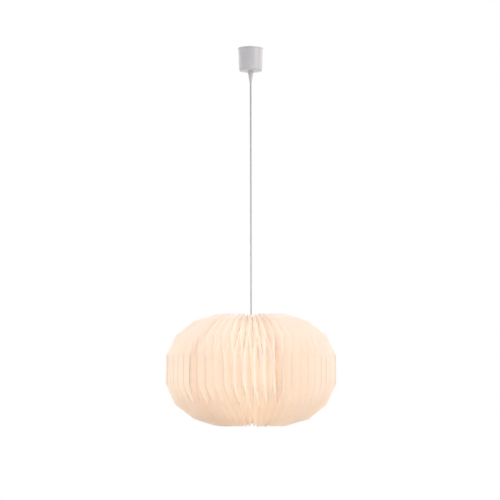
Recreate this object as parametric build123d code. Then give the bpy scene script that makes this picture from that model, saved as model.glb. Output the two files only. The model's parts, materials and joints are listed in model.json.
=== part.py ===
from build123d import *
from math import atan2, cos, degrees, hypot, radians, sin, sqrt
import os

# Pleated paper pendant lamp, in millimetres.
# The origin is on the ceiling plane over the lamp's axis, +Z up; the lamp hangs towards -Z.

# ---------------------------------------------------------------- driving dimensions
RIM_GAP = 4.0             # from the ceiling plane down to the cup's rim
CUP_HEIGHT = 62.0
CUP_RIM_R = 33.8
CUP_BOTTOM_R = 31.2
CUP_WALL = 2.0
GRIP_LENGTH = 30.5        # cord grip cone under the cup
CORD_DIAMETER = 4.5
SHADE_DROP = 859.0        # from the cup's rim down to the shade's middle
SHEET_PLEATS = (11, 11, 11, 12, 10)   # pleats in each of the shade's folded sheets
SEAM_ANGLE = 20.8         # of the first glued seam, from the front (-Y) towards +X
PAPER = 0.3
MITRE_LIMIT = 1.2         # most that a fold line may stand off the paper's middle
HOLE_TOP_R = 26.0
HOLE_BOTTOM_R = 45.0
RUN = 0.3                 # gap between pieces that move on each other
SLIDE_FIT = 0.05          # radial clearance where one piece is guided by another

CUP_TOP = -RIM_GAP
CUP_BOTTOM = CUP_TOP - CUP_HEIGHT
SHADE_MID = CUP_TOP - SHADE_DROP
HALF_PITCH = 180.0 / sum(SHEET_PLEATS)   # angle from a crest line to the next trough line
CORD_R = CORD_DIAMETER / 2

# Fold lines as (radius, height from the shade's middle), from the top hole to the bottom hole.
# Crest lines carry the ridges of the middle band, trough lines its valleys.
CREST = [
    (HOLE_TOP_R, 135.3),
    (93.0, 147.0),
    (225.0, 36.0),
    (225.0, -36.0),
    (93.0, -147.0),
    (HOLE_BOTTOM_R, -138.6),
]
TROUGH = [
    (HOLE_TOP_R, 106.3),
    (157.4, 129.3),
    (199.5, 91.0),
    (199.5, -91.0),
    (157.4, -129.3),
    (HOLE_BOTTOM_R, -109.7),
]
FOLD_DEPTH = 27.0         # mean depth of a pleat, square to its fold lines

os.makedirs("parts", exist_ok=True)


def save(name, *solids):
    """Write one named piece, or one group of loose solids, as a STEP file."""
    shape = solids[0] if len(solids) == 1 else Compound(children=list(solids))
    shape.label = name
    export_step(shape, f"parts/{name}.step")


# ---------------------------------------------------------------- shapes used often
def lathe(*outline):
    """Solid of revolution about Z from a closed outline of (radius, height)."""
    return revolve(make_face(Plane.XZ * Polyline(*outline, close=True)), Axis.Z)


def tube(outer, inner, low, high, x=0.0, y=0.0):
    """Upright ring or sleeve between two heights."""
    body = Cylinder(outer, high - low) - Cylinder(inner, high - low)
    return Pos(x, y, (low + high) / 2) * body


def rod(radius, low, high, x=0.0, y=0.0):
    """Upright cylinder between two heights."""
    return Pos(x, y, (low + high) / 2) * Cylinder(radius, high - low)


def block(x0, x1, y0, y1, z0, z1):
    """Box between two corners."""
    middle = Pos((x0 + x1) / 2, (y0 + y1) / 2, (z0 + z1) / 2)
    return middle * Box(x1 - x0, y1 - y0, z1 - z0)


def ridged(outer, root, inner, low, high, pitch):
    """Sleeve with rounded annular thread ridges on its outside."""
    sleeve = tube(root, inner, low, high)
    count = int((high - low) / pitch)
    start = low + ((high - low) - count * pitch) / 2
    for turn in range(count):
        middle = start + (turn + 0.5) * pitch
        sleeve += lathe(
            (root - 0.1, middle - 0.4 * pitch),
            (outer, middle - 0.12 * pitch),
            (outer, middle + 0.12 * pitch),
            (root - 0.1, middle + 0.4 * pitch),
        )
    return sleeve


def along(path, radius):
    """Round wire that follows a path."""
    start = Plane(origin=path @ 0, z_dir=path % 0)
    return sweep(start * Circle(radius), path=path)


def screw(length, thread_r, head_r, head_h):
    """Cheese-head slotted screw, head's underside at z=0, shank towards -Z."""
    body = rod(head_r, 0, head_h) + rod(thread_r, -length, 0)
    return body - block(-head_r, head_r, -0.4, 0.4, head_h - 0.9, head_h)


# ---------------------------------------------------------------- ceiling hook and links
HOOK_WIRE_R = 1.75
HOOK_BEND_R = 6.5
HOOK_BEND_TURN = 265.0
HOOK_NECK_R = 3.0
HOOK_EYE_Z = -15.5        # centre of the hook's bend
PLATE_R = 12.5
PLATE_UP = 2.2            # thickness of the ceiling plate
PLATE_HOLE_R = 1.8
PLATE_HOLE_X = 8.5
RING_WIRE_R = 1.1
RING_R = 5.0
LINK_GAP = 0.2

HOOK_LOW = HOOK_EYE_Z - HOOK_BEND_R
RING_TOP = HOOK_LOW + HOOK_WIRE_R + LINK_GAP + RING_WIRE_R
RING_MID = RING_TOP - RING_R
RING_LOW = RING_MID - RING_R
BAIL_TOP = RING_LOW + RING_WIRE_R + LINK_GAP + RING_WIRE_R
BAIL_BEND_R = 4.2
BAIL_ROOT = 5.0           # length of its feet inside the anchor
ANCHOR_TOP = -34.0


def ceiling_hook():
    """Round ceiling plate with two screw holes and an open wire hook welded under it."""
    rise = sqrt((HOOK_BEND_R + HOOK_NECK_R) ** 2 - HOOK_NECK_R**2)
    neck_z = HOOK_EYE_Z + rise
    neck_turn = degrees(atan2(rise, HOOK_NECK_R))
    straight = Line((0, -PLATE_UP / 2), (0, neck_z))
    neck = JernArc(straight @ 1, straight % 1, HOOK_NECK_R, -neck_turn)
    bend = JernArc(neck @ 1, neck % 1, HOOK_BEND_R, HOOK_BEND_TURN)
    path = Plane.XZ * Wire([straight, neck, bend])
    hook = along(path, HOOK_WIRE_R) + Pos(path @ 1) * Sphere(HOOK_WIRE_R)
    plate = rod(PLATE_R, -PLATE_UP, 0)
    plate = chamfer(plate.edges().group_by(Axis.Z)[0], 0.6)
    for x in (-PLATE_HOLE_X, PLATE_HOLE_X):
        plate -= rod(PLATE_HOLE_R, -PLATE_UP, 0, x)
    return plate + hook


def link_ring():
    """Closed ring that hangs in the hook, in the YZ plane."""
    return Pos(0, 0, RING_MID) * Rot(0, 90, 0) * Torus(RING_R, RING_WIRE_R)


def anchor_bail():
    """Wire staple that hangs in the ring and is moulded into the cord anchor."""
    bend_z = BAIL_TOP - BAIL_BEND_R
    foot_z = ANCHOR_TOP - BAIL_ROOT
    leg = Line((-BAIL_BEND_R, foot_z), (-BAIL_BEND_R, bend_z))
    bow = ThreePointArc((-BAIL_BEND_R, bend_z), (0, BAIL_TOP), (BAIL_BEND_R, bend_z))
    other = Line((BAIL_BEND_R, bend_z), (BAIL_BEND_R, foot_z))
    return along(Plane.XZ * Wire([leg, bow, other]), RING_WIRE_R)


# ---------------------------------------------------------------- cord anchor and wiring
ANCHOR_X = 8.5
ANCHOR_Y = 6.0
ANCHOR_LOW = -58.5
CORD_TOP = -46.0
CLAMP_LOW = -56.0
CLAMP_HIGH = -49.0
CLAMP_SCREW = 7.0
CLAMP_SCREW_R = 1.2
CLAMP_SCREW_X = (-5.5, 5.5)
TERMINAL_X = (-4.2, 4.2)
TERMINAL_Y = ANCHOR_Y + 4.0
TERMINAL_R = 2.6
TERMINAL_LOW = -41.0
TERMINAL_HIGH = -25.0
TERMINAL_MID = (TERMINAL_LOW + TERMINAL_HIGH) / 2
CORE_R = 0.8


def anchor_body():
    """Moulded block that clamps the cord and carries the terminal block."""
    body = block(-ANCHOR_X, ANCHOR_X, -ANCHOR_Y, ANCHOR_Y, ANCHOR_LOW, ANCHOR_TOP)
    body = fillet(body.edges().filter_by(Axis.Z), 2.0)
    for x in (-BAIL_BEND_R, BAIL_BEND_R):
        body -= rod(RING_WIRE_R, ANCHOR_TOP - BAIL_ROOT, ANCHOR_TOP, x)
    body -= rod(CORD_R, ANCHOR_LOW, CORD_TOP)
    body -= rod(4.0, CORD_TOP, ANCHOR_TOP)
    body -= block(-4.0, 4.0, 0, ANCHOR_Y, CORD_TOP, CORD_TOP + 4.0)
    body -= block(-3.0, 3.0, -ANCHOR_Y, 0, CLAMP_LOW, CLAMP_HIGH)
    for x in CLAMP_SCREW_X:
        body -= clamp_screw_hole(x)
    return body


def clamp_screw_hole(x):
    """Space that one clamp screw's shank takes in the bar and the anchor."""
    front = -ANCHOR_Y - 2.0
    middle = Pos(x, front + CLAMP_SCREW / 2, (CLAMP_LOW + CLAMP_HIGH) / 2)
    return middle * Rot(90, 0, 0) * Cylinder(CLAMP_SCREW_R, CLAMP_SCREW)


def cord_clamp():
    """Saddle pressed on the cord by two screws, let into the anchor's front."""
    saddle = block(-2.9, 2.9, -ANCHOR_Y, -0.5, CLAMP_LOW + 0.1, CLAMP_HIGH - 0.1)
    saddle -= rod(CORD_R, CLAMP_LOW, CLAMP_HIGH)
    bar = block(-8.0, 8.0, -ANCHOR_Y - 2.0, -ANCHOR_Y, CLAMP_LOW + 0.1, CLAMP_HIGH - 0.1)
    clamp = fillet((saddle + bar).edges().filter_by(Axis.Y).group_by(Axis.Y)[0], 0.4)
    for x in CLAMP_SCREW_X:
        clamp -= clamp_screw_hole(x)
    return clamp


def terminal_block():
    """Two-way connector on the anchor's back, open above and below for the wires."""
    body = block(-8.5, 8.5, ANCHOR_Y, ANCHOR_Y + 9.0, TERMINAL_LOW, TERMINAL_HIGH)
    body = fillet(body.edges().filter_by(Axis.Z), 1.0)
    for x in TERMINAL_X:
        body -= rod(TERMINAL_R, TERMINAL_LOW, TERMINAL_HIGH, x, TERMINAL_Y)
        reach = Pos(x, ANCHOR_Y + 7.0, TERMINAL_MID) * Rot(90, 0, 0)
        body -= reach * Cylinder(1.9, 4.4)
    return body


def terminal_barrel(x):
    """Brass barrel of one terminal, bored for the wires."""
    return tube(TERMINAL_R, 1.3, TERMINAL_LOW + 1.5, TERMINAL_HIGH - 1.5, x, TERMINAL_Y)


def terminal_screw(x):
    """Grub screw of one terminal, reached from behind."""
    body = Pos(x, ANCHOR_Y + 7.6, TERMINAL_MID) * Rot(90, 0, 0) * Cylinder(1.6, 2.0)
    slot = block(x - 1.6, x + 1.6, ANCHOR_Y + 8.0, ANCHOR_Y + 8.6, TERMINAL_MID - 0.3,
                 TERMINAL_MID + 0.3)
    return body - slot


def conductor(x):
    """Insulated core from the cord's cut end, up and over into a terminal's lower mouth."""
    route = FilletPolyline(
        (0.3 * x, 0, CORD_TOP),
        (0.3 * x, 0, CORD_TOP + 2.5),
        (x, TERMINAL_Y, CORD_TOP + 2.5),
        (x, TERMINAL_Y, TERMINAL_LOW + 5.0),
        radius=1.2,
    )
    return along(route, CORE_R)


# ---------------------------------------------------------------- cup and cord grip
GRIP_THREAD_R = 5.0
GRIP_HEAD_R = 8.3
GRIP_TIP_R = 3.0
CUP_HOLE_R = 5.2
GRIP_NUT = 3.2
GRIP_LOW = CUP_BOTTOM - GRIP_LENGTH


def ceiling_cup():
    """Thin spun cup, a little narrower at its closed lower end, with a rolled rim."""
    lip = 3.0
    outline = Polyline(
        (CUP_HOLE_R, CUP_BOTTOM),
        (CUP_BOTTOM_R, CUP_BOTTOM),
        (CUP_RIM_R - 1.0, CUP_TOP - lip),
        (CUP_RIM_R, CUP_TOP - lip),
        (CUP_RIM_R, CUP_TOP),
        (CUP_RIM_R - CUP_WALL, CUP_TOP),
        (CUP_BOTTOM_R - CUP_WALL, CUP_BOTTOM + CUP_WALL),
        (CUP_HOLE_R, CUP_BOTTOM + CUP_WALL),
        close=True,
    )
    profile = make_face(outline)
    corners = profile.vertices()
    outer = corners.sort_by_distance((CUP_BOTTOM_R, CUP_BOTTOM))[0]
    inner = corners.sort_by_distance((CUP_BOTTOM_R - CUP_WALL, CUP_BOTTOM + CUP_WALL))[0]
    profile = fillet(outer, 4.5)
    profile = fillet(profile.vertices().sort_by_distance(inner.center())[0], 2.5)
    rim = profile.vertices().group_by(Axis.Y)[-1]
    profile = fillet(rim, 0.8)
    return revolve(Plane.XZ * profile, Axis.Z)


def grip_sleeve():
    """Threaded tube through the cup's floor, with collet fingers inside the cone."""
    low = CUP_BOTTOM - 16.0
    high = CUP_BOTTOM + CUP_WALL + GRIP_NUT + 0.2
    sleeve = ridged(GRIP_THREAD_R, 4.7, CORD_R + SLIDE_FIT + 0.25, low, high, 1.5)
    for angle in (0, 60, 120):
        sleeve -= Rot(0, 0, angle) * block(-6, 6, -0.4, 0.4, low, low + 7.0)
    return sleeve


def grip_nut():
    """Hexagonal nut that holds the grip sleeve on the cup's floor."""
    nut = extrude(RegularPolygon(8.0, 6), GRIP_NUT)
    return Pos(0, 0, CUP_BOTTOM + CUP_WALL) * nut - rod(GRIP_THREAD_R, CUP_BOTTOM, CUP_BOTTOM + 8)


def grip_cone():
    """Tapered cap screwed on the sleeve; turning it closes the fingers on the cord."""
    top = CUP_BOTTOM - RUN
    inside = CUP_BOTTOM - 16.5
    return lathe(
        (GRIP_THREAD_R + RUN, top),
        (GRIP_HEAD_R, top),
        (GRIP_HEAD_R - 0.6, top - 3.0),
        (GRIP_TIP_R + 3.2, top - 10.5),
        (GRIP_TIP_R + 2.0, top - 20.0),
        (GRIP_TIP_R + 0.6, GRIP_LOW + 3.5),
        (GRIP_TIP_R, GRIP_LOW),
        (CORD_R + SLIDE_FIT, GRIP_LOW),
        (CORD_R + SLIDE_FIT, inside - 4.0),
        (GRIP_THREAD_R + RUN, inside),
    )


# ---------------------------------------------------------------- lampholder
SOCKET_R = 17.3           # inside of the holder's skirt
SKIRT_R = 19.7
SHOULDER_R = 23.0
SHOULDER_LOW = SHADE_MID + 104.8
SHOULDER_HIGH = SHADE_MID + 109.0
SKIRT_LOW = SHADE_MID + 68.0
CAP_HIGH = SHADE_MID + 136.0
NIPPLE_R = 5.0
NIPPLE_HIGH = SHADE_MID + 145.0
CORD_LOW = SHADE_MID + 130.0
SHADE_RING_LOW = SHADE_MID + 93.0
SHADE_RING_HIGH = SHADE_MID + 102.4
PLATE_THICKNESS = 1.6
PLATE_LOW = SHADE_RING_HIGH + RUN
PLATE_HIGH = PLATE_LOW + PLATE_THICKNESS


def cord():
    """The straight flex, from its cut end in the anchor to inside the lampholder's nipple."""
    return rod(CORD_R, CORD_LOW, CORD_TOP)


def cord_nipple():
    """Threaded nipple that the cord enters the lampholder through."""
    nipple = ridged(NIPPLE_R, 4.7, CORD_R, CAP_HIGH - 12.0, NIPPLE_HIGH, 1.25)
    mouth = Pos(0, 0, NIPPLE_HIGH - 4.5) * Rot(90, 0, 0)
    return nipple - Pos(0, 3.5, 0) * mouth * Cylinder(1.25, 5.0)


def nipple_screw():
    """Nylon grub screw in the nipple's side that clamps the cord."""
    middle = Pos(0, 4.4, NIPPLE_HIGH - 4.5) * Rot(90, 0, 0)
    body = middle * Cylinder(1.2, 4.0)
    return body - block(-1.2, 1.2, 5.8, 6.4, NIPPLE_HIGH - 4.8, NIPPLE_HIGH - 4.2)


def holder_cap():
    """Domed upper shell of the lampholder."""
    profile = make_face(Polyline(
        (4.7, CAP_HIGH), (11.0, CAP_HIGH), (20.5, SHOULDER_HIGH + 15.0), (22.6, SHOULDER_HIGH),
        (20.6, SHOULDER_HIGH), (18.6, SHOULDER_HIGH + 14.0), (10.0, CAP_HIGH - 2.0),
        (4.7, CAP_HIGH - 2.0), close=True,
    ))
    body = revolve(Plane.XZ * profile, Axis.Z)
    return body - rod(NIPPLE_R, CAP_HIGH - 4.0, CAP_HIGH + 1.0)


def holder_shell():
    """Lower shell: shoulder that the shade hangs from and threaded skirt round the socket."""
    skirt = ridged(SKIRT_R, SKIRT_R - 0.7, SOCKET_R, SKIRT_LOW, SHOULDER_LOW, 2.6)
    return skirt + tube(SHOULDER_R, SOCKET_R, SHOULDER_LOW, SHOULDER_HIGH)


def holder_insert():
    """Glazed insulator that carries the contacts, under the cap."""
    low = SHOULDER_LOW + 0.5
    body = rod(17.0, low, SHOULDER_HIGH + 8.0)
    for x in (-9.0, 9.0):
        body -= rod(1.6, low, SHOULDER_HIGH + 8.0, x)
        body -= rod(3.1, SHOULDER_HIGH + 5.5, SHOULDER_HIGH + 8.0, x)
    return body


def holder_terminals():
    """Two terminal screws on the insulator."""
    top = SHOULDER_HIGH + 5.6
    return [Pos(x, 0, top) * screw(6.0, 1.5, 2.9, 1.9) for x in (-9.0, 9.0)]


def socket_thread():
    """Brass screw socket for the lamp's base."""
    low = BASE_LOW + 2.0
    sleeve = tube(15.4, 14.9, low, SHOULDER_LOW)
    for turn in range(7):
        z = low + 1.4 + 3.6 * turn
        sleeve += lathe((14.9, z), (14.3, z + 0.9), (14.3, z + 1.5), (14.9, z + 2.4))
    rim = tube(17.0, 14.9, SHOULDER_LOW - 0.7, SHOULDER_LOW + 0.5)
    return sleeve + rim


def centre_contact():
    """Springy centre contact under the insulator."""
    low = SHOULDER_LOW - 1.1
    leaf = block(-9.5, 4.0, -2.2, 2.2, low + 0.8, low + 1.4)
    stem = block(-9.5, -7.5, -2.2, 2.2, low + 1.4, low + 1.6)
    return leaf + stem + rod(2.0, low, low + 0.8)


def shade_ring():
    """Threaded ring screwed on the skirt from below; the shade rests on it."""
    ring = tube(24.0, SKIRT_R + SLIDE_FIT, SHADE_RING_LOW, SHADE_RING_HIGH)
    ring += tube(25.6, 23.0, SHADE_RING_HIGH - 2.2, SHADE_RING_HIGH)
    for place in PolarLocations(24.3, 20):
        ring -= place * Pos(0, 0, SHADE_RING_LOW + 3.4) * Cylinder(1.2, 7.0)
    return ring


# ---------------------------------------------------------------- lamp (bulb)
BULB_R = 30.0
BULB_MID = SHADE_MID + 19.5
BASE_LOW = SHADE_MID + 75.0
BASE_HIGH = SHADE_MID + 98.0
BASE_R = 13.4
NECK_R = 14.6


def bulb_shell():
    """Brass-plated screw base with rounded thread."""
    sleeve = tube(BASE_R - 0.6, BASE_R - 1.3, BASE_LOW, BASE_HIGH)
    for turn in range(6):
        z = BASE_LOW + 2.0 + 3.4 * turn
        root = BASE_R - 0.7
        sleeve += lathe((root, z), (BASE_R, z + 0.9), (BASE_R, z + 1.7), (root, z + 2.6))
    return sleeve


def bulb_insulator():
    """Black glass or plastic cone that closes the base's top."""
    top = BASE_HIGH
    wide = BASE_R - 0.6
    return lathe((0, top), (wide, top), (wide - 0.8, top + 0.9), (5.2, top + 3.0), (0, top + 3.0))


def bulb_tip():
    """Solder contact at the base's top."""
    top = BASE_HIGH + 3.0
    return lathe((0, top), (4.6, top), (3.6, top + 1.0), (0, top + 1.3))


def bulb_housing():
    """White housing between the base and the globe, hollow for the driver board."""
    mouth = BULB_MID + 12.0
    return lathe(
        (BASE_R - 1.3, BASE_LOW + 2.0), (BASE_R - 1.3, BASE_LOW), (NECK_R, BASE_LOW),
        (NECK_R + 1.4, BASE_LOW - 6.0), (21.0, BASE_LOW - 22.0), (27.4, mouth),
        (25.4, mouth), (19.2, BASE_LOW - 21.0), (13.2, BASE_LOW - 5.0),
        (11.2, BASE_LOW - 5.0), (11.2, BASE_LOW + 2.0),
    )


def bulb_globe():
    """Diffusing globe under the housing."""
    ball = Pos(0, 0, BULB_MID) * (Sphere(BULB_R) - Sphere(BULB_R - 1.4))
    top = BULB_MID + 12.0
    return ball - block(-40, 40, -40, 40, top, BULB_MID + 40)


def led_plate():
    """Round plate with the light-emitting diodes, across the housing's mouth."""
    low = BULB_MID + 12.6
    plate = rod(24.4, low, low + 1.4)
    for place in PolarLocations(15.0, 9):
        plate += place * Pos(0, 0, low - 0.4) * Box(3.0, 3.0, 0.8)
    return plate


# ---------------------------------------------------------------- pleated shade
def outward(points, index):
    """Direction across the paper at one fold-line point, in the plane through the axis."""
    if index in (0, len(points) - 1):
        return (0.0, 1.0 if index == 0 else -1.0)
    (r0, z0), (r1, z1), (r2, z2) = points[index - 1 : index + 2]
    normals = []
    for dr, dz in ((r1 - r0, z1 - z0), (r2 - r1, z2 - z1)):
        length = hypot(dr, dz)
        normals.append((-dz / length, dr / length))
    nr = normals[0][0] + normals[1][0]
    nz = normals[0][1] + normals[1][1]
    length = hypot(nr, nz)
    return (nr / length, nz / length)


def paper_point(first, count, index, layer):
    """Point on fold line number count, at a layer in half thicknesses from the middle."""
    points = TROUGH if count % 2 else CREST
    r, z = points[index]
    nr, nz = outward(points, index)
    spread = hypot(1.0, FOLD_DEPTH / (r * sin(radians(HALF_PITCH))))
    step = layer * min(PAPER / 2 * spread, MITRE_LIMIT)
    angle = radians(first + count * HALF_PITCH)
    out = r + step * nr
    return Vector(out * sin(angle), -out * cos(angle), SHADE_MID + z + step * nz)


def folded_strip(first, start, stop, inner=-1.0, outer=1.0):
    """Closed solid of the panels between two fold lines, counted from the crest line at first."""
    rows = len(CREST)
    faces = []

    def quad(a, b, c, d):
        faces.append(Face(Wire.make_polygon([a, b, c])))
        faces.append(Face(Wire.make_polygon([a, c, d])))

    grid = {
        (count, index, layer): paper_point(first, count, index, layer)
        for count in range(start, stop + 1)
        for index in range(rows)
        for layer in (inner, outer)
    }
    for count in range(start, stop):
        for index in range(rows - 1):
            for layer in (inner, outer):
                quad(
                    grid[count, index, layer],
                    grid[count, index + 1, layer],
                    grid[count + 1, index + 1, layer],
                    grid[count + 1, index, layer],
                )
        for index in (0, rows - 1):
            quad(
                grid[count, index, inner],
                grid[count, index, outer],
                grid[count + 1, index, outer],
                grid[count + 1, index, inner],
            )
    for count in (start, stop):
        for index in range(rows - 1):
            quad(
                grid[count, index, inner],
                grid[count, index + 1, inner],
                grid[count, index + 1, outer],
                grid[count, index, outer],
            )
    solid = Solid(Shell(faces))
    return solid if solid.volume > 0 else Solid(Shell([-face for face in faces]))


def top_collar():
    """Short card tube that the pleats' upper ends are glued round."""
    return tube(HOLE_TOP_R - 0.02, HOLE_TOP_R - 1.6, PLATE_HIGH, SHADE_MID + CREST[0][1])


def bottom_collar():
    """Card band that the pleats' lower ends are glued round; the bulb passes through it."""
    low = SHADE_MID + CREST[-1][1]
    return tube(HOLE_BOTTOM_R - 0.03, HOLE_BOTTOM_R - 1.4, low, SHADE_MID + TROUGH[-1][1])


def carrier_plate():
    """Washer glued under the top collar that hangs the shade on the shade ring."""
    return tube(HOLE_TOP_R - 0.02, SKIRT_R + 0.5, PLATE_LOW, PLATE_HIGH)


# ---------------------------------------------------------------- write every piece
def main():
    save("ceiling_hook", ceiling_hook())
    save("link_ring", link_ring())
    save("anchor_bail", anchor_bail())
    save("anchor_body", anchor_body())
    save("cord_clamp", cord_clamp())
    turn_forward = Rot(90, 0, 0)
    clamp_z = (CLAMP_LOW + CLAMP_HIGH) / 2
    clamp_screws = [
        Pos(x, -ANCHOR_Y - 2.0, clamp_z) * turn_forward * screw(CLAMP_SCREW, CLAMP_SCREW_R, 2.2, 1.5)
        for x in CLAMP_SCREW_X
    ]
    save("clamp_screws", *clamp_screws)
    save("terminal_block", terminal_block())
    save("terminal_barrels", *[terminal_barrel(x) for x in TERMINAL_X])
    save("terminal_screws", *[terminal_screw(x) for x in TERMINAL_X])
    save("live_conductor", conductor(TERMINAL_X[0]))
    save("neutral_conductor", conductor(TERMINAL_X[1]))
    save("ceiling_cup", ceiling_cup())
    save("grip_sleeve", grip_sleeve())
    save("grip_nut", grip_nut())
    save("grip_cone", grip_cone())
    save("cord", cord())
    save("cord_nipple", cord_nipple())
    save("nipple_screw", nipple_screw())
    save("holder_cap", holder_cap())
    save("holder_shell", holder_shell())
    save("holder_insert", holder_insert())
    save("holder_terminals", *holder_terminals())
    save("socket_thread", socket_thread())
    save("centre_contact", centre_contact())
    save("shade_ring", shade_ring())
    save("bulb_globe", bulb_globe())
    save("bulb_housing", bulb_housing())
    save("led_plate", led_plate())
    save("bulb_screw_shell", bulb_shell())
    save("bulb_insulator", bulb_insulator())
    save("bulb_tip", bulb_tip())
    save("carrier_plate", carrier_plate())
    save("top_collar", top_collar())
    save("bottom_collar", bottom_collar())
    seam = SEAM_ANGLE
    laps = [folded_strip(seam, -1, 0, -3.0, -1.0)]
    for number, pleats in enumerate(SHEET_PLEATS, start=1):
        save(f"pleated_sheet_{number}", folded_strip(seam, 0, 2 * pleats))
        if number > 1:
            laps.append(folded_strip(seam, 0, 1, -3.0, -1.0))
        seam += 2 * pleats * HALF_PITCH
    save("seam_laps", *laps)


main()
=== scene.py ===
"""Pleated paper pendant lamp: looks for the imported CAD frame. Units are metres and degrees."""

import json
import math
import random

import bpy
from mathutils import Matrix, Vector

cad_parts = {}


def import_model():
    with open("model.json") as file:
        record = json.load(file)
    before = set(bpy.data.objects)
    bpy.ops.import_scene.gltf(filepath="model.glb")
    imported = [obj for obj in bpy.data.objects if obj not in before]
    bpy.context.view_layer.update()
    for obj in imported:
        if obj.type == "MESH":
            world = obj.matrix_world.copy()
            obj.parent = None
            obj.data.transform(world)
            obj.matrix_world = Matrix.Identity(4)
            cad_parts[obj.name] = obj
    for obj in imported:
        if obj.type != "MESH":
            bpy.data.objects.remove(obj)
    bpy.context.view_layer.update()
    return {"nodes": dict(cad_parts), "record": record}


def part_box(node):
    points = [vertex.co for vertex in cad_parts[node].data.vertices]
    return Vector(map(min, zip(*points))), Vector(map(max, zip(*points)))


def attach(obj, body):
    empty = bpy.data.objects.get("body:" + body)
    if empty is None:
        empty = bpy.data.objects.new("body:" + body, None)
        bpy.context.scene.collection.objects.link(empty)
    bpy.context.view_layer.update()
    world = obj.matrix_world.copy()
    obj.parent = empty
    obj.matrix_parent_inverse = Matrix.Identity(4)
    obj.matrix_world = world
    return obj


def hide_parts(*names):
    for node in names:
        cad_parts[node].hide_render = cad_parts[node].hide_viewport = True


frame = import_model()
NODES = frame["nodes"]

# ---------------------------------------------------------------- sizes from the frame
sheet_boxes = [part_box(f"pleated_sheet_{k}") for k in range(1, 6)]
SHADE_TOP = max(high.z for _, high in sheet_boxes)
SHADE_BOTTOM = min(low.z for low, _ in sheet_boxes)
MID = (SHADE_TOP + SHADE_BOTTOM) / 2
HOLE_TOP_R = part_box("top_collar")[1].x
HOLE_BOTTOM_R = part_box("bottom_collar")[1].x
CORD_LOW, CORD_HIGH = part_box("cord")
GLOBE_LOW, GLOBE_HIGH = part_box("bulb_globe")

# ---------------------------------------------------------------- the paper's folds
SHEET_PLEATS = (11, 11, 11, 12, 10)
PLEATS = sum(SHEET_PLEATS)
HALF_PITCH = 180.0 / PLEATS
FIRST_SEAM = 20.8                 # where sheet 1 starts, in degrees to the right of the front
# The outline is a polygon: (radius, height from the shade's middle) at each bend, top to bottom.
CREST = (
    (HOLE_TOP_R, 0.1353),
    (0.0930, 0.1470),
    (0.2250, 0.0360),
    (0.2250, -0.0360),
    (0.0930, -0.1470),
    (HOLE_BOTTOM_R, -0.1386),
)
TROUGH = (
    (HOLE_TOP_R, 0.1063),
    (0.1500, 0.1293),
    (0.1995, 0.0910),
    (0.1995, -0.0910),
    (0.1510, -0.1293),
    (HOLE_BOTTOM_R, -0.1097),
)
ALONG = (5, 9, 12, 9, 5)          # divisions of each stretch between two folds across the pleats
ACROSS = (0.0, 0.08, 0.24, 0.42, 0.58, 0.76, 0.92, 1.0)   # places of points over a panel's width
TWIST = 3.0                       # how far the lower end has turned in the making
TWIST_START = -0.036              # the turn grows from this height, from the shade's middle
TWIST_DROP = 0.111                # and is complete this much further down
WOBBLE_ANGLE = 0.26               # small errors of the folds: degrees, then metres
WOBBLE_RADIUS = 0.0007
WOBBLE_HEIGHT = 0.0007
LINE_SHARE = 0.6                  # how much of the angle's error a whole fold line has
BEND_SHARE = 0.5                  # and how much more each of its bends has
COLLAR_SHARE = 0.3                # what is left of the line's error where the collars hold it
BOW = 0.0007                      # how far a panel bulges between its folds
SHARP_FOLD = 28                   # the angle from which an edge of the paper is kept sharp
# Painted shade along the folds: dark lines on the outer folds and the glued seams, and shade
# deepening towards each inner fold.
CREST_SHADE = (0.22, 0.66)         # painted shade along a pleat's outer fold, lightest and darkest
CREST_SHADE_BY_BEND = (0.2, 0.4, 1.0, 1.0, 0.60, 0.3)              # strength of the outer folds' painted shade at each bend, top to bottom
SEAM_SHADE = 0.65
CREST_SHADE_REACH = 0.10                # how far the painted shade of an outer fold spreads over a panel's width
VALLEY_SHADES = (0.20, 0.14, 0.10, 0.10, 0.14, 0.05)       # painted shade towards an inner fold, at each bend, top to bottom
# how far that painted shade reaches from the inner fold over a panel's width
VALLEY_SHADE_REACH = 0.55
LAP_SIDE = (-1, 1, 1, 1, 1)       # 1: a lap behind the sheet's first panel, -1: one panel before
LAP_INSET = 0.0009
WOBBLE_SEED = 55                  # seeds of the random draws
TONE_SEED = 300
BOW_SEED = 1000


# ---------------------------------------------------------------- small helpers
def in_scene(name, data):
    """Object in the scene that holds the given mesh, curve, light or camera."""
    obj = bpy.data.objects.new(name, data)
    bpy.context.scene.collection.objects.link(obj)
    return obj


def new_object(name, vertices, faces):
    """Mesh object in the scene from points and faces."""
    mesh = bpy.data.meshes.new(name)
    mesh.from_pydata(vertices, [], faces)
    mesh.validate()
    mesh.update()
    return in_scene(name, mesh)


def smooth(obj, sharp_over):
    """Smooth shading, with edges over the given angle kept sharp."""
    for polygon in obj.data.polygons:
        polygon.use_smooth = True
    obj.data.set_sharp_from_angle(angle=math.radians(sharp_over))


def dress(obj, material):
    """Give an object one material in its only slot."""
    obj.data.materials.clear()
    obj.data.materials.append(material)


def ease(value):
    """Smooth step from 0 to 1."""
    value = min(max(value, 0.0), 1.0)
    return value * value * (3.0 - 2.0 * value)


def grey(value):
    """Colour with the same value in red, green and blue."""
    return (value,) * 3


def scaled(colour, factor):
    """Colour with its red, green and blue times a factor."""
    return tuple(c * factor for c in colour)


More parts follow.
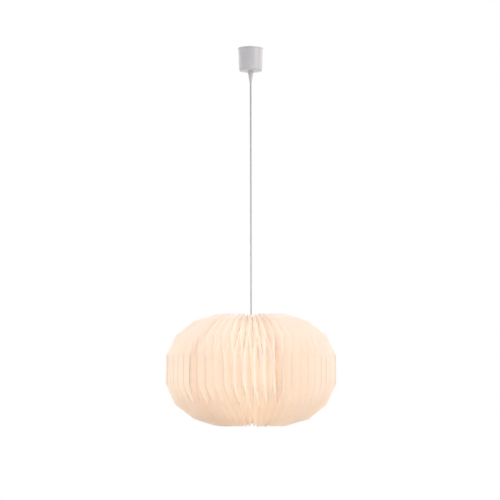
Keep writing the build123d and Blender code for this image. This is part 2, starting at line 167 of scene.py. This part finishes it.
# ---------------------------------------------------------------- materials
class Recipe:
    """The node tree of a new material or world, with short ways to add and join nodes."""

    def __init__(self, owner, output="ShaderNodeOutputMaterial"):
        self.owner = owner
        self.owner.use_nodes = True
        self.tree = self.owner.node_tree
        self.tree.nodes.clear()
        self.surface = self.add(output).inputs["Surface"]

    @classmethod
    def of_material(cls, name):
        """Recipe of a new, empty material."""
        return cls(bpy.data.materials.new(name))

    def add(self, kind, **settings):
        """New node; each setting is an input's value or else a property of the node."""
        node = self.tree.nodes.new(kind)
        for key, value in settings.items():
            if key in node.inputs:
                node.inputs[key].default_value = value
            else:
                setattr(node, key, value)
        return node

    def join(self, start, end):
        self.tree.links.new(start, end)

    def finish(self, shader):
        """Send a shader to the output and give the finished material or world."""
        self.join(shader.outputs[0], self.surface)
        return self.owner

    def place(self):
        return self.add("ShaderNodeTexCoord").outputs["Object"]

    def along(self, source, low, high, start, end):
        """Number that runs evenly from start to end while source runs from low to high."""
        limits = {"From Min": low, "From Max": high, "To Min": start, "To Max": end}
        node = self.add("ShaderNodeMapRange", **limits)
        self.join(source, node.inputs["Value"])
        return node.outputs["Result"]

    def noise(self, scale, detail=4.0, roughness=0.55, stretch=None):
        """Noise in object space; stretch scales it along X, Y and Z."""
        noise = self.add("ShaderNodeTexNoise", Scale=scale, Detail=detail, Roughness=roughness)
        place = self.place()
        if stretch:
            mapping = self.add("ShaderNodeMapping", Scale=stretch)
            self.join(place, mapping.inputs["Vector"])
            place = mapping.outputs["Vector"]
        self.join(place, noise.inputs["Vector"])
        return noise.outputs["Fac"]

    def ramp(self, source, stops):
        """Colour ramp; stops are (position, colour)."""
        ramp = self.add("ShaderNodeValToRGB")
        while len(ramp.color_ramp.elements) < len(stops):
            ramp.color_ramp.elements.new(0.5)
        for element, (position, colour) in zip(ramp.color_ramp.elements, stops):
            element.position = position
            element.color = (*colour, 1.0)
        self.join(source, ramp.inputs["Fac"])
        return ramp.outputs["Color"]

    def mix(self, fac, a, b, blend="MIX"):
        """Mix two colours, each a colour or a socket."""
        mix = self.add("ShaderNodeMix", data_type="RGBA", blend_type=blend)
        for socket, value in ((mix.inputs[0], fac), (mix.inputs[6], a), (mix.inputs[7], b)):
            if isinstance(value, bpy.types.NodeSocket):
                self.join(value, socket)
            elif isinstance(value, tuple):
                socket.default_value = (*value, 1.0)
            else:
                socket.default_value = value
        return mix.outputs[2]

    def bump(self, height, strength, distance):
        bump = self.add("ShaderNodeBump", Strength=strength, Distance=distance)
        self.join(height, bump.inputs["Height"])
        return bump.outputs["Normal"]


MOTTLE = 0.03                     # how much a plastic's colour varies either way
DULLING = 0.06                    # how much its roughness varies either way


def moulded(name, colour, roughness, depth=0.00004, coat=0.0):
    """Moulded plastic: a fine spark-eroded grain, faint flow marks and handling dulling."""
    r = Recipe.of_material(name)
    shader = r.add("ShaderNodeBsdfPrincipled")
    shader.inputs["Coat Weight"].default_value = coat
    flow = r.noise(35.0, 3.0, 0.5, (1.0, 1.0, 0.35))
    tints = ((0.35, scaled(colour, 1.0 - MOTTLE)), (0.65, scaled(colour, 1.0 + MOTTLE)))
    r.join(r.ramp(flow, tints), shader.inputs["Base Color"])
    dull = r.noise(60.0, 5.0)
    tones = ((0.3, grey(roughness - DULLING)), (0.7, grey(roughness + DULLING)))
    r.join(r.ramp(dull, tones), shader.inputs["Roughness"])
    r.join(r.bump(r.noise(900.0, 2.0), 0.5, depth), shader.inputs["Normal"])
    return r.finish(shader)


TARNISH = (0.7, 0.65, 0.6)        # what a stain leaves of a metal's red, green and blue


def metal(name, colour, roughness):
    """Drawn or turned metal with fine lines and a little tarnish."""
    r = Recipe.of_material(name)
    shader = r.add("ShaderNodeBsdfPrincipled", Metallic=1.0)
    stain = r.ramp(r.noise(90.0, 5.0), ((0.45, grey(0.0)), (0.75, grey(1.0))))
    dark = tuple(c * t for c, t in zip(colour, TARNISH))
    r.join(r.mix(stain, colour, dark), shader.inputs["Base Color"])
    lines = r.noise(500.0, 3.0, 0.6, (1.0, 1.0, 30.0))
    tones = ((0.3, grey(roughness * 0.7)), (0.7, grey(roughness * 1.4)))
    r.join(r.ramp(lines, tones), shader.inputs["Roughness"])
    r.join(r.bump(lines, 0.25, 0.00003), shader.inputs["Normal"])
    return r.finish(shader)


def card(name, colour):
    """Matt card with fibres."""
    r = Recipe.of_material(name)
    shader = r.add("ShaderNodeBsdfPrincipled", Roughness=0.85)
    fibre = r.noise(700.0, 6.0, 0.7, (1.0, 1.0, 0.3))
    tints = ((0.35, scaled(colour, 0.86)), (0.65, colour))
    r.join(r.ramp(fibre, tints), shader.inputs["Base Color"])
    r.join(r.bump(fibre, 0.5, 0.00008), shader.inputs["Normal"])
    return r.finish(shader)


# Colours of the paper by the light that falls on it, and of its glow by the light through it.
PAPER_WHITE = (0.90, 0.875, 0.87)
PAPER_GLOW = (1.0, 0.915, 0.84)
PAPER_FIBRE = (0.80, 0.77, 0.73)
GLOW_FIBRE = (0.86, 0.74, 0.60)
# Colours of the painted shade along the folds, in the light that falls on the paper and in the
# light through it.
PAPER_FOLD_SHADE = (0.66, 0.62, 0.58)
GLOW_FOLD_SHADE = (0.50, 0.42, 0.34)


def paper(name, through=0.5):
    """Translucent paper: cloudy formation, long fibres, and painted shade along its folds.

    through is the share of the light that passes through the sheet instead of coming back.
    """
    r = Recipe.of_material(name)
    cloud = r.noise(75.0, 5.0, 0.6)
    fibre = r.noise(650.0, 4.0, 0.65, (1.0, 1.0, 0.22))
    # the "fold" attribute carries the painted shade of the folds
    fold = r.add("ShaderNodeAttribute", attribute_name="fold").outputs["Fac"]
    body = r.ramp(cloud, ((0.3, scaled(PAPER_WHITE, 0.97)), (0.7, PAPER_WHITE)))
    body = r.mix(r.ramp(fibre, ((0.45, grey(0.0)), (0.75, grey(0.10)))), body, PAPER_FIBRE)
    body = r.mix(fold, body, PAPER_FOLD_SHADE)
    glow = r.ramp(cloud, ((0.3, scaled(PAPER_GLOW, 0.95)), (0.7, PAPER_GLOW)))
    glow = r.mix(r.ramp(fibre, ((0.4, grey(0.0)), (0.8, grey(0.12)))), glow, GLOW_FIBRE)
    glow = r.mix(fold, glow, GLOW_FOLD_SHADE)
    normal = r.bump(fibre, 0.35, 0.00005)
    front = r.add("ShaderNodeBsdfPrincipled", Roughness=0.82)
    front.inputs["Specular IOR Level"].default_value = 0.25
    back = r.add("ShaderNodeBsdfTranslucent")
    both = r.add("ShaderNodeMixShader", Fac=through)
    r.join(body, front.inputs["Base Color"])
    r.join(glow, back.inputs["Color"])
    r.join(normal, front.inputs["Normal"])
    r.join(normal, back.inputs["Normal"])
    r.join(front.outputs[0], both.inputs[1])
    r.join(back.outputs[0], both.inputs[2])
    return r.finish(both)


GLOBE_OPAL = (0.95, 0.93, 0.9)
GLOBE_GLOW = (1.0, 0.76, 0.47)
GLOBE_GLOW_WHITER = (1.0, 0.78, 0.50)
GLOBE_STRENGTH = 55.0
GLOBE_NECK = 0.62                 # light at the neck, against 1 at the end that hangs down


def lit_globe(name):
    """Opal diffuser, lit warm from inside and a little brighter at its end than at its neck."""
    r = Recipe.of_material(name)
    shader = r.add("ShaderNodeBsdfPrincipled", Roughness=0.35)
    shader.inputs["Base Color"].default_value = (*GLOBE_OPAL, 1.0)
    shader.inputs["Emission Strength"].default_value = GLOBE_STRENGTH
    tint = r.ramp(r.noise(25.0, 2.0), ((0.3, GLOBE_GLOW), (0.7, GLOBE_GLOW_WHITER)))
    parts = r.add("ShaderNodeSeparateXYZ")
    r.join(r.place(), parts.inputs[0])
    fall = r.along(parts.outputs["Z"], GLOBE_LOW.z, GLOBE_HIGH.z, 1.0, GLOBE_NECK)
    r.join(r.mix(1.0, tint, fall, "MULTIPLY"), shader.inputs["Emission Color"])
    return r.finish(shader)


def cord_material(name):
    """Extruded flex sheath: satin, with faint lengthwise draw lines."""
    r = Recipe.of_material(name)
    shader = r.add("ShaderNodeBsdfPrincipled")
    lines = r.noise(2200.0, 2.0, 0.5, (1.0, 1.0, 0.01))
    tints = ((0.35, (0.50, 0.49, 0.49)), (0.65, (0.56, 0.55, 0.55)))
    r.join(r.ramp(lines, tints), shader.inputs["Base Color"])
    tones = ((0.3, grey(0.4)), (0.7, grey(0.52)))
    r.join(r.ramp(r.noise(120.0), tones), shader.inputs["Roughness"])
    r.join(r.bump(lines, 0.3, 0.00005), shader.inputs["Normal"])
    return r.finish(shader)


PAPER = paper("shade_paper_lit")
LAP_PAPER = paper("glued_paper_lit", through=0.92)
MATERIALS = {
    "hook_steel": metal("zinc_wire", (0.62, 0.62, 0.63), 0.28),
    "nylon": moulded("nylon_natural", (0.80, 0.79, 0.76), 0.45, coat=0.05),
    "zinc_screws": metal("zinc_screw", (0.58, 0.58, 0.6), 0.35),
    "brass": metal("brass_strip", (0.78, 0.58, 0.28), 0.3),
    "live_core": moulded("core_brown", (0.23, 0.11, 0.06), 0.4),
    "neutral_core": moulded("core_blue", (0.05, 0.16, 0.5), 0.4),
    "cord_sheath": cord_material("flex_sheath"),
    "holder_plastic": moulded("holder_white", (0.74, 0.73, 0.71), 0.42, coat=0.1),
    "insulator": moulded("porcelain", (0.82, 0.8, 0.76), 0.15, depth=0.00001, coat=0.4),
    "cup_plastic": moulded("cup_satin", (0.735, 0.715, 0.735), 0.38, coat=0.08),
    "grip_plastic": moulded("grip_satin", (0.75, 0.73, 0.75), 0.42),
    "card": card("collar_card", (0.82, 0.78, 0.7)),
    "shade_paper": PAPER,
    "bulb_diffuser": lit_globe("globe_lit"),
    "bulb_plastic": moulded("bulb_white", (0.84, 0.83, 0.81), 0.3, coat=0.2),
    "led_board": metal("led_board_metal", (0.8, 0.8, 0.8), 0.4),
    "bulb_base": metal("base_nickel", (0.7, 0.68, 0.62), 0.25),
    "black_insulator": moulded("insulator_black", (0.02, 0.02, 0.02), 0.2),
}
SHARP_EDGE = 32                   # the angle from which an edge of a moulding is kept sharp
for part in frame["record"]["subparts"]:
    dress(NODES[part["node"]], MATERIALS[part["material_slot"]])
    smooth(NODES[part["node"]], SHARP_EDGE)


# ---------------------------------------------------------------- the cord
CORD_DIAMETER = CORD_HIGH.x - CORD_LOW.x
CORD_POINTS = (
    (0.0, 0.0, CORD_HIGH.z),
    (0.0, 0.0, CORD_LOW.z),
)


def flex():
    """The flex, pulled straight by the shade's weight."""
    curve = bpy.data.curves.new("cord_flex", "CURVE")
    curve.dimensions = "3D"
    spline = curve.splines.new("NURBS")
    spline.points.add(len(CORD_POINTS) - 1)
    for point, place in zip(spline.points, CORD_POINTS):
        point.co = (*place, 1.0)
    spline.order_u = 3
    spline.use_endpoint_u = True
    curve.bevel_depth = CORD_DIAMETER / 2
    curve.bevel_resolution = 6
    curve.use_fill_caps = True
    obj = in_scene("cord_flex", curve)
    dress(obj, MATERIALS["cord_sheath"])
    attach(obj, "lamp")
    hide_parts("cord")


flex()


# ---------------------------------------------------------------- the pleated shade
def fold_wobble():
    """Small hand-made errors of every fold line: angle, radius and height at each bend."""
    chance = random.Random(WOBBLE_SEED)
    lines = []
    for _ in range(2 * PLEATS):
        whole = chance.uniform(-LINE_SHARE, LINE_SHARE) * WOBBLE_ANGLE
        bends = []
        for _ in range(len(CREST)):
            angle = whole + chance.uniform(-BEND_SHARE, BEND_SHARE) * WOBBLE_ANGLE
            radius = chance.uniform(-1.0, 1.0) * WOBBLE_RADIUS
            height = chance.uniform(-1.0, 1.0) * WOBBLE_HEIGHT
            bends.append((angle, radius, height))
        bends[0] = bends[-1] = (whole * COLLAR_SHARE, 0.0, 0.0)
        lines.append(bends)
    return lines


FOLD_WOBBLE = fold_wobble()


def twist_at(z):
    """How far the shade's lower end is turned, in degrees, at a height from its middle."""
    return TWIST * ease((TWIST_START - z) / TWIST_DROP)


def bend_point(line, index, inset):
    """Where fold line number line crosses bend number index; odd lines are inner folds."""
    r, z = (TROUGH if line % 2 else CREST)[index]
    angle, radius, height = FOLD_WOBBLE[line % (2 * PLEATS)][index]
    r += radius - inset
    z += height
    turned = math.radians(FIRST_SEAM + line * HALF_PITCH + angle + twist_at(z))
    return Vector((r * math.sin(turned), -r * math.cos(turned), MID + z))


def panel_rows():
    """Rows of points from top to bottom: (stretch between two bends, fraction along it)."""
    rows = [(0, 0.0)]
    for stretch, count in enumerate(ALONG):
        rows += [(stretch, (step + 1) / count) for step in range(count)]
    return rows


ROWS = panel_rows()


def fold_point(line, row, inset):
    """Point of fold line number line at a row of points."""
    stretch, along = row
    return bend_point(line, stretch, inset).lerp(bend_point(line, stretch + 1, inset), along)


def crest_painted_shade(line, is_seam):
    """Painted shade along an outer fold line, from 0 to 1; a glued seam's line gets more."""
    if is_seam:
        return SEAM_SHADE
    return random.Random(TONE_SEED + line % (2 * PLEATS)).uniform(*CREST_SHADE)


def between(values, row):
    """Value at a row of points, from one value for each bend."""
    stretch, along = row
    return values[stretch] + (values[stretch + 1] - values[stretch]) * along


def panel_painted_shade(line, across, seams, row):
    """Painted shade of the paper between fold line number line and the next, at one point."""
    from_crest, crest = (1.0 - across, line + 1) if line % 2 else (across, line)
    # painted shade along the outer fold, and painted shade deepening towards the inner fold
    outer = crest_painted_shade(crest, crest in seams) * max(0.0, 1.0 - from_crest / CREST_SHADE_REACH)
    depth = max(0.0, 1.0 - (1.0 - from_crest) / VALLEY_SHADE_REACH)
    return outer * between(CREST_SHADE_BY_BEND, row) + depth * between(VALLEY_SHADES, row)


def paper_strip(name, first_line, panels, inset=0.0):
    """Folded paper between fold lines, one column of points for each place across a panel.

    Its "fold" attribute holds the painted shade at each point.
    """
    seams = (first_line, first_line + panels)
    columns = []
    tones = []
    for panel in range(panels):
        start = 0 if panel == 0 else 1    # later panels start on the last column before them
        line = first_line + panel
        bow = random.Random(BOW_SEED + line).uniform(-BOW, BOW)
        for across in ACROSS[start:]:
            column = []
            for row in ROWS:
                left = fold_point(line, row, inset)
                right = fold_point(line + 1, row, inset)
                point = left.lerp(right, across)
                out = Vector((point.x, point.y, 0.0)).normalized()
                point += out * bow * math.sin(math.pi * across) * math.sin(math.pi * row[1])
                column.append(point)
            columns.append(column)
            # painted shade of each point, kept in the "fold" attribute
            tones += [panel_painted_shade(line, across, seams, row) for row in ROWS]
    height = len(ROWS)
    vertices = [point for column in columns for point in column]
    faces = [
        (c * height + h, c * height + h + 1, (c + 1) * height + h + 1, (c + 1) * height + h)
        for c in range(len(columns) - 1)
        for h in range(height - 1)
    ]
    obj = new_object(name, vertices, faces)
    fold = obj.data.attributes.new("fold", "FLOAT", "POINT")
    for point, point_shade in zip(fold.data, tones):
        point.value = point_shade
    smooth(obj, SHARP_FOLD)
    return obj


def shade():
    """Five folded sheets, each glued to the next with one lap panel inside."""
    line = 0
    for number, pleats in enumerate(SHEET_PLEATS, start=1):
        sheet = paper_strip(f"folded_sheet_{number}", line, 2 * pleats)
        lap_line = line if LAP_SIDE[number - 1] > 0 else line + 2 * PLEATS - 1
        lap = paper_strip(f"glued_lap_{number}", lap_line, 1, inset=LAP_INSET)
        for piece, material in ((sheet, PAPER), (lap, LAP_PAPER)):
            dress(piece, material)
            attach(piece, "shade")
        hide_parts(f"pleated_sheet_{number}")
        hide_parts("seam_laps")
        line += 2 * pleats


shade()


# ---------------------------------------------------------------- stage, light and camera
CAMERA_DISTANCE = 4.9
CAMERA_LENS = 133.1
CAMERA_SENSOR = 36.0
CAMERA_UP = 3.713                 # degrees of tilt above level
CAMERA_YAW = -0.03
CAMERA_ROLL = -0.1
FLOOR_Z = MID - 3.3
FLOOR_RADIUS = 16.0
FLOOR_SIDES = 96
FLOOR_TONE = 0.80
WORLD_LIGHT = (0.15, 0.85, 0.85)  # from underfoot, level and overhead
WORLD_FRONT = 0.34                # the room's light in front, against 1 at the sides
KEY_PLACE = (2.2, -1.6, 0.4)
KEY_AIM = (0.0, 0.0, MID * 0.6)
KEY_SIZE = 1.2
KEY_POWER = 17.0
SHADE_SPOTS = (                   # name, place and power
    ("spot_left", (-2.4, -1.6, MID + 1.6), 215.0),
    ("spot_right", (2.4, -1.6, MID + 1.6), 130.0),
    ("spot_front", (0.3, -2.8, MID + 2.3), 170.0),
)
SPOT_AIM = (0.0, 0.0, MID)
SPOT_CONE = 17.0                  # degrees, wide enough for the shade and no more
SPOT_BLEND = 0.5                  # share of the cone that fades to nothing
SPOT_SIZE = 0.5                   # radius of the lamp, for soft shadows


def floor():
    """Round pale floor, well below the hanging lamp."""
    turns = [2 * math.pi * k / FLOOR_SIDES for k in range(FLOOR_SIDES)]
    ring = [(FLOOR_RADIUS * math.cos(t), FLOOR_RADIUS * math.sin(t), FLOOR_Z) for t in turns]
    obj = new_object("floor", ring, [tuple(range(FLOOR_SIDES))])
    r = Recipe.of_material("floor_pale")
    shader = r.add("ShaderNodeBsdfPrincipled", Roughness=0.9)
    shader.inputs["Base Color"].default_value = (*grey(FLOOR_TONE), 1.0)
    dress(obj, r.finish(shader))


def world():
    """White studio seen by the camera; its light is weak from in front and from below."""
    scene = bpy.context.scene
    scene.world = bpy.data.worlds.new("studio")
    r = Recipe(scene.world, "ShaderNodeOutputWorld")
    seen = r.add("ShaderNodeBackground")
    seen.inputs["Color"].default_value = (1.0, 1.0, 1.0, 1.0)
    lit = r.add("ShaderNodeBackground")
    parts = r.add("ShaderNodeSeparateXYZ")
    r.join(r.add("ShaderNodeTexCoord").outputs["Generated"], parts.inputs[0])
    height = r.along(parts.outputs["Z"], -1.0, 1.0, 0.0, 1.0)
    sky = [(place, grey(light)) for place, light in zip((0.0, 0.5, 1.0), WORLD_LIGHT)]
    r.join(r.ramp(height, sky), lit.inputs["Color"])
    depth = r.along(parts.outputs["Y"], -1.0, 1.0, WORLD_FRONT, 2.0 - WORLD_FRONT)
    r.join(depth, lit.inputs["Strength"])
    both = r.add("ShaderNodeMixShader")
    r.join(r.add("ShaderNodeLightPath").outputs["Is Camera Ray"], both.inputs[0])
    r.join(lit.outputs[0], both.inputs[1])
    r.join(seen.outputs[0], both.inputs[2])
    r.finish(both)
    scene.view_settings.view_transform = "Standard"
    scene.view_settings.look = "None"


def aimed_light(name, kind, place, target, **settings):
    """Light of one kind at a place, turned towards a target."""
    light = bpy.data.lights.new(name, kind)
    for key, value in settings.items():
        setattr(light, key, value)
    obj = in_scene(name, light)
    obj.location = place
    obj.rotation_euler = (Vector(target) - obj.location).to_track_quat("-Z", "Y").to_euler()


def lights():
    """A soft key light, and spots that light the shade alone and leave the cup darker."""
    aimed_light("key_right", "AREA", KEY_PLACE, KEY_AIM, size=KEY_SIZE, energy=KEY_POWER)
    for name, place, power in SHADE_SPOTS:
        aimed_light(
            name, "SPOT", place, SPOT_AIM,
            energy=power,
            shadow_soft_size=SPOT_SIZE,
            spot_size=math.radians(SPOT_CONE),
            spot_blend=SPOT_BLEND,
        )


def camera():
    """Camera level with the shade's middle, aimed up to take in the whole drop."""
    data = bpy.data.cameras.new("camera")
    data.lens = CAMERA_LENS
    data.sensor_width = CAMERA_SENSOR
    obj = in_scene("camera", data)
    turn = (
        Matrix.Rotation(math.radians(-CAMERA_YAW), 4, "Z")
        @ Matrix.Rotation(math.radians(90.0 + CAMERA_UP), 4, "X")
        @ Matrix.Rotation(math.radians(CAMERA_ROLL), 4, "Z")
    )
    obj.matrix_world = Matrix.Translation((0.0, -CAMERA_DISTANCE, MID)) @ turn
    bpy.context.scene.camera = obj


floor()
world()
lights()
camera()
